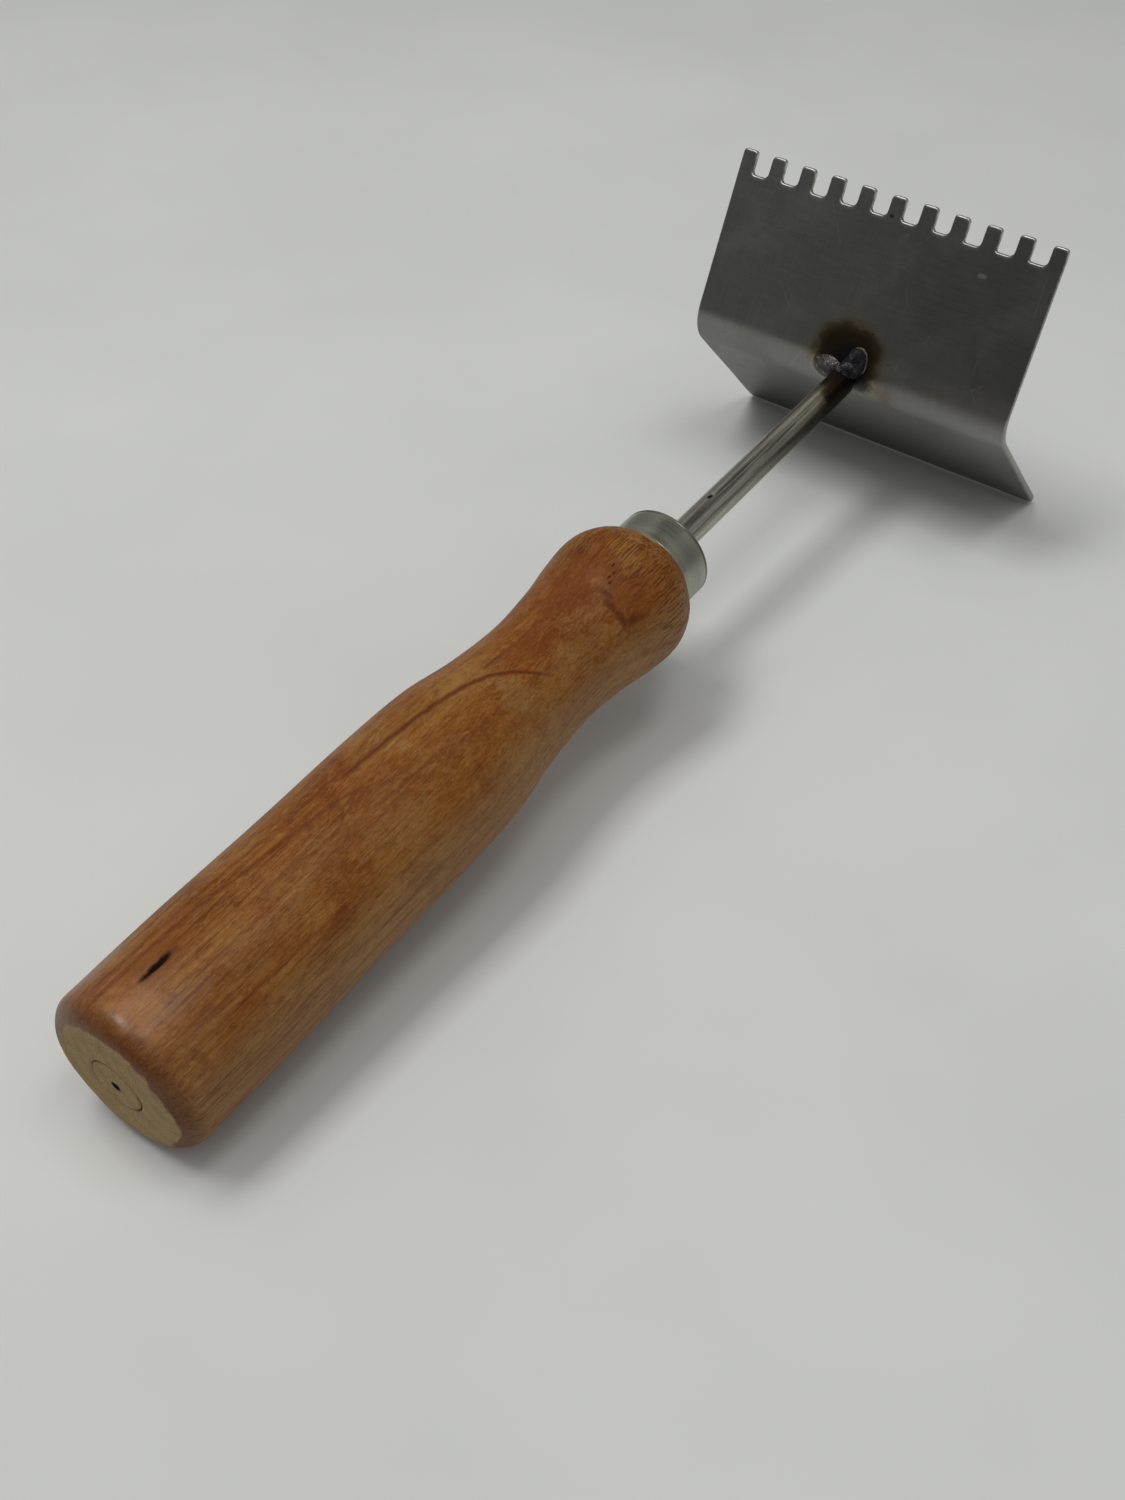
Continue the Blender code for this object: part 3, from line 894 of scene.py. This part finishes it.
class Comb:
    """The flat outline of the blade as grids of points, which can be drawn again moved in by a margin."""

    tooth_columns = 13
    slot_columns = 11
    body_rows = 84
    tooth_rows = 10

    def __init__(self):
        random = np.random.default_rng(5)
        pitch = TOOTH_WIDTH + SLOT_WIDTH
        middles = (np.arange(TEETH) - (TEETH - 1) / 2) * pitch
        self.left = middles - TOOTH_WIDTH / 2 + random.uniform(-0.07, 0.07, TEETH)
        self.right = middles + TOOTH_WIDTH / 2 + random.uniform(-0.07, 0.07, TEETH)
        self.left[0], self.right[-1] = -BLADE_HALF, BLADE_HALF
        self.tip = PLATE_TOP - random.uniform(0.0, 0.12, TEETH)
        self.tip_left = TIP_ROUND + random.uniform(-0.15, 0.2, TEETH)
        self.tip_right = TIP_ROUND + random.uniform(-0.15, 0.2, TEETH)
        self.root = PLATE_TOP - SLOT_DEPTH + random.uniform(-0.2, 0.3, TEETH - 1)
        self.root_left = ROOT_ROUND + random.uniform(0.0, 0.35, TEETH - 1)
        self.root_right = np.full(TEETH - 1, ROOT_ROUND)
        self.root_right[:3] -= 0.45
        self.number_points()

    def number_points(self):
        """Numbers the points of the body and the teeth, and lists their quads and the outline's loop."""
        tooth, slot = self.tooth_columns, self.slot_columns
        columns = TEETH * tooth + (TEETH - 1) * slot
        body = np.arange(self.body_rows * columns).reshape(self.body_rows, columns)
        first = np.arange(TEETH) * (tooth + slot)
        self.tooth_at = first[:, None] + np.arange(tooth)
        self.slot_at = first[:-1, None] + tooth + np.arange(slot)
        extra = body.size + np.arange(TEETH * self.tooth_rows * tooth).reshape(TEETH, self.tooth_rows, tooth)
        teeth = np.concatenate((body[-1][self.tooth_at][:, None, :], extra), axis=1)
        self.quads = np.concatenate((grid_quads(body), grid_quads(teeth)))
        self.count = body.size + extra.size
        loop = [body[0], body[1:, -1]]
        for number in reversed(range(TEETH)):
            loop += [teeth[number, 1:, -1], teeth[number, -1, -2::-1], teeth[number, -2::-1, 0]]
            if number:
                loop.append(body[-1][self.slot_at[number - 1]][::-1])
        loop.append(body[-2:0:-1, 0])
        loop = np.concatenate(loop)
        self.loop = loop[np.append(True, np.diff(loop) != 0)]

    def points(self, margin):
        """Every point's place across and along the sheet, for the outline moved in by the margin."""
        spread = np.sin(np.linspace(-1, 1, self.tooth_columns) * math.pi / 2) / 2 + 0.5
        gap = (np.sin(np.linspace(-1, 1, self.slot_columns + 2) * math.pi / 2) / 2 + 0.5)[1:-1]
        left, right = self.left + margin, self.right - margin
        tooth_y = left[:, None] + (right - left)[:, None] * spread
        slot_y = right[:-1, None] + (left[1:] - right[:-1])[:, None] * gap
        root = self.root - margin
        turn_left, turn_right = self.root_left + margin, self.root_right + margin
        slot_top = root[:, None] + np.maximum(
            from_corner(slot_y - right[:-1, None], turn_left[:, None]),
            from_corner(left[1:, None] - slot_y, turn_right[:, None]),
        )
        base_right = np.append(root + turn_left, (root + turn_left).mean())
        base_left = np.append((root + turn_right).mean(), root + turn_right)
        tooth_base = base_left[:, None] + (base_right - base_left)[:, None] * spread
        tip_left, tip_right = self.tip_left - margin, self.tip_right - margin
        tooth_top = (self.tip - margin)[:, None] - np.maximum(
            from_corner(tooth_y - left[:, None], tip_left[:, None]),
            from_corner(right[:, None] - tooth_y, tip_right[:, None]),
        )

        columns = TEETH * self.tooth_columns + (TEETH - 1) * self.slot_columns
        across, top = np.empty(columns), np.empty(columns)
        across[self.tooth_at], across[self.slot_at] = tooth_y, slot_y
        top[self.tooth_at], top[self.slot_at] = tooth_base, slot_top
        from_side = BLADE_HALF - margin - np.abs(across)
        bottom = FLANGE_END + margin + from_corner(from_side, FLANGE_CORNER - margin)
        level = PLATE_TOP - SLOT_DEPTH + ROOT_ROUND
        rows = np.linspace(FLANGE_END + margin, level, self.body_rows)[:, None]
        rise = ease(rows, level - 5, level) * (top - level)
        lift = (1 - ease(rows, FLANGE_END, FLANGE_END + 5)) * (bottom - FLANGE_END - margin)
        body = np.stack(np.broadcast_arrays(across, rows + rise + lift), axis=-1)
        step = np.linspace(0, 1, self.tooth_rows + 1)[1:, None]
        height = tooth_base[:, None, :] + step * (tooth_top - tooth_base)[:, None, :]
        teeth = np.stack(np.broadcast_arrays(tooth_y[:, None, :], height), axis=-1)
        return np.concatenate((body.reshape(-1, 2), teeth.reshape(-1, 2)))


def sheet_wave(across, along):
    """How the sheet strays from true: slight waves, a pressed dent, and a pull at the weld."""
    flat = np.stack((across, along, np.zeros_like(across)), axis=-1)
    clear = ease(along, FLANGE_END, FLANGE_END + 8) * ease(-along, -PLATE_TOP, -PLATE_TOP + 8)
    waves = (0.035 * noise(flat, (19, 13, 1), 31) + 0.006 * noise(flat, (6, 5, 1), 32)) * clear
    dent = 0.07 * hump(across, DENT[0], 1.0) * hump(along, DENT[1], 0.6)
    pull = 0.1 * hump(np.hypot(across - WELD_MIDDLE[0], along - WELD_MIDDLE[1]), 0, 9)
    return waves + dent - pull


def bare_steel():
    """Mild steel sheet: dull grey with faint rolling lines, scratches, dirt, and tints round the weld."""
    material, tree, shader = finish_of("bare_steel")
    place = sheet_place(tree)
    across, along, depth = split(place)
    rolled = fine_lines(place, (2.4, 0.07, 0.5), 1.2)
    rubbed = fine_lines(place, (0.12, 1.8, 0.5), 1.2)
    patches, specks = use(GRIME, place, 14.0, 0.55)
    grain = clouds(place, 3.2, 3.0, 0.7)

    # Scratches: the edges of a few large, thin cells, kept only where a second pattern lets them show.
    cells = {"Vector": place * (0.11, 0.05, 0.1), "Scale": 1.0}
    edges = put("ShaderNodeTexVoronoi", cells, "Distance", feature="DISTANCE_TO_EDGE")
    scratch = edges.ranged(0.0, 0.012, 1.0, 0.0) * clouds(place, 0.12).ranged(0.5, 0.62)

    # Painted reflection: the comb's wing is painted duller towards one side, and the scraping wing is painted
    # brighter there. It is paint, so it stays when the lights move.
    painted_reflection_side = across.ranged(34.0, -30.0)
    steel = layered(
        mixed(rolled.ranged(0.3, 0.7), paint(130, 130, 127), paint(140, 140, 137)),
        (grain.ranged(0.35, 0.65), 0.3, 120, 120, 118),
        (patches, 0.35, 126, 125, 119),
        (specks, 0.5, 88, 85, 80),
        (clouds(place, 2.2, 1.0).ranged(0.74, 0.8), 0.5, 190, 190, 184),
        (painted_reflection_side * along.ranged(2.0, 9.0), 0.8, 104, 104, 102),
        (painted_reflection_side * along.ranged(3.0, -4.0), 0.6, 160, 160, 154),
        (scratch, 0.3, 170, 170, 166),
    )

    # Heat round the weld, ragged, and stronger above it than below.
    ragged = (clouds(place, 0.16, 4.0, 0.55) - 0.5) * 5.0
    away = (place - (*WELD_MIDDLE, 0.0)).length() + ragged + along.ranged(-3.0, 3.0, 3.0, 0.0)
    heat = away.ranged(0.0, 12.0, 1.0, 0.0) + away.ranged(6.0, 17.0, 0.08, 0.0)
    colour, oxide = use(HEAT_TINT, steel, heat)

    # A straw streak and a blush below the weld, a painted shadow at the rod's end, a pale ring of oxide
    # outside the near bead, and a dark dot and a pressed dent on the comb's wing.
    from_bead = ((place - (*NEAR_BEAD, 0.0)) * (0.245, 0.3, 0.0)).length()
    ring = abs(from_bead - 1.0).ranged(0.0, 0.07, 1.0, 0.0) * (across - along).ranged(3.0, 6.0)
    colour = layered(
        colour,
        (spot(place, (-6.9, -0.6), (0.5, 2.3, 3), 0.6, 0.6, 0.8), 0.6, 176, 148, 92),
        (spot(place, (-10.0, -1.8), (2.0, 3.2, 3), 1.2, 0.8, 0.4), 0.5, 112, 84, 66),
        # A painted shadow at the rod's end, below the weld.
        (spot(place, (-3.4, 0.0), (3.4, 2.3, 3), 0.8, 0.5, 0.6), 0.85, 44, 44, 52),
        (ring, 0.7, 168, 150, 120),
        (spot(place, DOT, (0.5, 0.4, 1), 0.3, 0.3, 1.0), 0.8, 50, 48, 46),
        (spot(place, DENT, (1.0, 0.5, 1), 0.4, 0.3, 0.8), 0.35, 206, 206, 200),
    )

    # The cut edges are brighter than the faces, and a painted highlight makes them brightest at the tips of
    # the teeth.
    cut = abs(depth - SHEET / 2).ranged(SHEET / 2 - 0.12, SHEET / 2 - 0.02, 0.7, 0.0)
    sheared = fine_lines(place, (2.5, 2.5, 0.6), 2.0)
    edge = mixed(sheared.ranged(0.3, 0.7), paint(140, 138, 131), paint(180, 178, 170))
    edge = layered(edge, (along.ranged(PLATE_TOP - 2.6, PLATE_TOP - 0.9), 0.8, 238, 237, 230))
    mixed(cut, colour, edge).feed(shader["Base Color"])
    shader["Metallic"].default_value = 1.0

    rough = rubbed.ranged(0.2, 0.8, 0.3, 0.37) + along.ranged(-6.0, 6.0, 0.12, 0.0)
    (rough + patches * 0.08 + oxide * 0.12 - cut * 0.12).feed(shader["Roughness"])
    relief = rolled * 0.4 + rubbed * 0.4 + grain * 0.4 - scratch * 0.6
    bumped(relief, 0.25, 0.00002).feed(shader["Normal"])
    return material


def build_blade():
    """The comb outline on the sheet's rod side and front side, joined by a rim that rounds both edges.

    Each ring of the rim is the outline moved in by the rounding's margin and set at the rounding's depth.
    """
    comb = Comb()
    rounding = np.radians((0, 30, 60, 90))
    margins = EDGE_ROUND * (1 - np.sin(rounding))
    depths = EDGE_ROUND * (1 - np.cos(rounding))
    face = comb.points(EDGE_ROUND)
    rings = [comb.points(margin)[comb.loop] for margin in margins[1:]]
    layers = [(face, 0.0), *zip(rings, depths[1:])]
    layers += [(ring, SHEET - depth) for ring, depth in zip(rings[::-1], depths[:0:-1])]
    layers.append((face, SHEET))
    flat = np.concatenate([np.insert(points, 2, depth, axis=1) for points, depth in layers])
    across, along, depth = flat.T
    points = on_sheet(across, along, depth + sheet_wave(across, along))

    count, around = comb.count, len(comb.loop)
    rim = count + np.arange(2 * len(rings) * around).reshape(-1, around)
    front = count + rim.size
    rim = np.concatenate((comb.loop[None], rim, front + comb.loop[None]))
    beside = np.roll(rim, -1, axis=1)
    wall = np.stack((rim[:-1], rim[1:], beside[1:], beside[:-1]), axis=-1).reshape(-1, 4)
    quads = np.concatenate((comb.quads, wall, front + comb.quads[:, ::-1]))
    make_piece("toothed_blade", points, quads, bare_steel(), "sheet_steel", "blade", sharp=70, sheet=flat)


# ---- The weld ------------------------------------------------------------------------------------------


def weld_metal(name, dark, light, rough_low, rough_high, ring):
    """Weld metal: a crust of fine grains, painted lighter towards the rod as a lit side with painted glints,
    over a pale oxide ring.

    ring gives the side of the bead that has it: shares of across and along, and where it starts and ends.
    """
    material, tree, shader = finish_of(name)
    place = tool_place(tree)
    across, along, depth = split(sheet_place(tree))
    patches = use(GRIME, place, 2.2, 0.3)[0]
    fine = clouds(place, 4.0, 3.0, 0.7)
    tone = fine * 0.6 + patches * 0.4
    # Painted light: the side towards the rod is painted lighter, as if lit, and carries the painted glints.
    clean = (across - along * 0.8).ranged(-6.5, -1.5) * tone.ranged(0.35, 0.65, 0.1, 0.8)
    side = across * ring[0] + along * ring[1]
    rim = (depth + fine * 0.3).ranged(-0.25, 0.05) * side.ranged(ring[2], ring[3])
    layered(
        mixed(tone.ranged(0.25, 0.7), paint(*dark), paint(*light)),
        (clean, 1.0, 112, 108, 110),
        # Painted glints, only on the painted lit side.
        (clouds(place, 3.2, 1.0).ranged(0.6, 0.7), clean, 214, 212, 212),
        (rim, 0.85, 146, 132, 110),
    ).feed(shader["Base Color"])
    shader["Metallic"].default_value = 0.85
    fine.ranged(0.3, 0.7, rough_low, rough_high).feed(shader["Roughness"])
    grains = put("ShaderNodeTexVoronoi", {"Vector": place, "Scale": 2.6, "Randomness": 1.0}, "Distance")
    bumped(fine + grains * 0.8, 0.7, 0.0002).feed(shader["Normal"])
    return material


def bead(middle, half, lean, seed, sink=0.55, rough=1.0, rows=60, columns=96):
    """A squashed ball of weld on the sheet's rod side: an oval sphere whose radius is roughened by noise.

    half gives its half sizes, lean turns it in the sheet's plane, and sink is how deep its middle lies.
    """
    polar = np.linspace(0, math.pi, rows)[:, None]
    angle = np.linspace(0, 2 * math.pi, columns, endpoint=False)[None, :]
    ball = (np.sin(polar) * np.cos(angle), np.sin(polar) * np.sin(angle), np.cos(polar))
    ball = np.stack(np.broadcast_arrays(*ball), axis=-1)
    reach = 1 + rough * (0.07 * noise(ball + 7, 0.9, seed) + 0.03 * noise(ball + 7, 0.35, seed + 1))
    reach += rough * 0.014 * noise(ball + 7, 0.12, seed + 2)
    reach[0], reach[-1] = reach[0].mean(), reach[-1].mean()
    shape = ball * reach[..., None] * half
    turn_cos, turn_sin = math.cos(lean), math.sin(lean)
    across = middle[0] + shape[..., 0] * turn_cos - shape[..., 1] * turn_sin
    along = middle[1] + shape[..., 0] * turn_sin + shape[..., 1] * turn_cos
    depth = np.minimum(sink - shape[..., 2], SHEET - 0.35)
    return np.stack((across, along, depth), axis=-1)


def make_weld(name, beads, material, slot, node, clean=0.0):
    """One piece from beads of equal grids. Its colours are worked out as if it stood clean off the sheet
    by that much, which leaves out the pale ring."""
    rows, columns = beads[0].shape[:2]
    flat = np.concatenate([some.reshape(-1, 3) for some in beads])
    quads = wrapped_quads(rows, columns)
    quads = np.concatenate([quads + rows * columns * number for number in range(len(beads))])
    make_piece(name, on_sheet(*flat.T), quads, material, slot, node, sharp=80, sheet=flat - (0, 0, clean))


def spatter():
    """Fine drops thrown round the weld, at random angles, distances and sizes."""
    random = np.random.default_rng(71)
    for number in range(12):
        angle, reach = random.uniform(0, 2 * math.pi), random.uniform(5.0, 13.0)
        size = random.uniform(0.1, 0.24)
        across = WELD_MIDDLE[0] + reach * math.cos(angle)
        along = WELD_MIDDLE[1] - 0.6 + 0.8 * reach * math.sin(angle)
        half = (size, size, size * 0.8)
        yield bead((across, along), half, lean=0.0, seed=80 + number, sink=0.05, rows=8, columns=12)


def build_weld():
    """Two beads, the dark joint between them that bites the rod, and fine spatter round them."""
    bright = weld_metal("bright_weld", (62, 57, 59), (98, 91, 90), 0.28, 0.42, (0.7, -0.7, 1.6, 3.2))
    dark = weld_metal("dark_weld", (20, 20, 25), (54, 54, 60), 0.32, 0.5, (-0.8, 0.6, 4.2, 5.8))
    near = bead(NEAR_BEAD, (3.7, 2.9, 2.0), lean=0.1, seed=41, rough=0.5)
    far = bead(FAR_BEAD, (2.9, 3.7, 1.9), lean=0.1, seed=51, rough=0.9)
    joint = bead(JOINT_BEAD, (3.0, 2.1, 2.6), lean=-0.4, seed=61, sink=0.4, rough=1.2)
    make_weld("weld_bead_near", [near], bright, "bright_weld", "weld_bead_left")
    make_weld("weld_bead_far", [far], dark, "dark_weld", "weld_bead_right")
    make_weld("weld_joint", [joint], dark, "dark_weld", None, clean=2.0)
    make_weld("weld_spatter", list(spatter()), dark, "dark_weld", None, clean=2.0)


build_grip()
build_ferrule()
build_rod()
build_blade()
build_weld()


# ---- Floor, light and camera ---------------------------------------------------------------------------

FLOOR_HALF = 3.0
FLOOR_DROP = 0.0001
LAMP_HEIGHT = 1.2
LAMP_LENGTH = 0.6
LAMP_COLOUR = (1.0, 0.99, 0.97)
CAMERA_PLACE = (-0.21266, -0.14625, 0.23547)
CAMERA_TURN = (46.729, -0.724, -53.738)
CAMERA_LENS = 42.47


def build_floor():
    """A plain pale floor, a wide flat square just under the object, in a paint that is duller far out:
    painted shade, where less light would fall.
    """
    corner = FLOOR_HALF * np.array(((-1, -1), (1, -1), (1, 1), (-1, 1)))
    points = np.column_stack((corner, np.full(4, cad_box[0][2] - FLOOR_DROP)))
    mesh = bpy.data.meshes.new("floor")
    mesh.from_pydata(points, [], [(0, 1, 2, 3)])
    material, tree, shader = finish_of("pale_floor")
    place = put("ShaderNodeTexCoord", output="Object", tree=tree)
    tone = clouds(place, 9.0, 3.0, 0.6).ranged(0.3, 0.7)
    pale = mixed(tone, paint(221, 223, 221), paint(227, 229, 226))
    # Painted shade: the floor's paint darkens far from the tool.
    mixed(place.length().ranged(0.15, 1.4), pale, paint(120, 121, 121)).feed(shader["Base Color"])
    shader["Roughness"].default_value = 0.7
    shader["Specular IOR Level"].default_value = 0.15
    mesh.materials.append(material)
    floor = placed("floor", mesh)


def strip_lamp(name, along, aside, wide, power):
    """A long soft box above the floor, beside the tool, that leans over to face its middle line."""
    light = bpy.data.lights.new(name, "AREA")
    light.shape = "RECTANGLE"
    light.size, light.size_y = LAMP_LENGTH, wide
    light.energy = power
    light.color = LAMP_COLOUR
    lamp = placed(name, light)
    lamp.location = (along, aside, LAMP_HEIGHT)
    lamp.rotation_euler = (math.atan2(-aside, LAMP_HEIGHT), 0.0, 0.0)


def build_light():
    """A plain room lit from overhead, with a dull patch of ceiling, a dim near wall, and two strip lamps."""
    world = bpy.data.worlds.new("room")
    bpy.context.scene.world = world
    world.use_nodes = True
    background = world.node_tree.nodes["Background"].inputs
    direction = put("ShaderNodeTexCoord", output="Generated", tree=world.node_tree)
    ahead, _, up = split(direction)
    room = ramp(up, (0.0, even(0.18)), (0.3, even(0.23)), (0.6, even(0.28)), (1.0, even(0.74)))
    towards = {0: direction, 1: (0.58, 0.0, 0.81)}
    facing = put("ShaderNodeVectorMath", towards, "Value", operation="DOT_PRODUCT")
    ceiling = facing.ranged(0.87, 0.97, 0.0, 0.9)
    near_wall = ahead.ranged(-0.2, -0.6) - up.ranged(0.35, 0.75)
    mixed(ceiling | near_wall * 0.45, room, even(0.02)).feed(background["Color"])
    background["Strength"].default_value = 1.0
    strip_lamp("near_lamp", 0.08, -0.24, 0.28, 1.5)
    strip_lamp("far_lamp", -0.28, 0.38, 0.34, 5.2)


def build_camera():
    """Held above the grip's side, looking down the tool towards the blade."""
    data = bpy.data.cameras.new("camera")
    data.lens = CAMERA_LENS
    data.sensor_width = 36.0
    data.clip_start = 0.01
    camera = placed("camera", data)
    camera.location = CAMERA_PLACE
    camera.rotation_euler = [math.radians(value) for value in CAMERA_TURN]
    bpy.context.scene.camera = camera


build_floor()
build_light()
build_camera()
bpy.context.scene.view_settings.view_transform = "Standard"
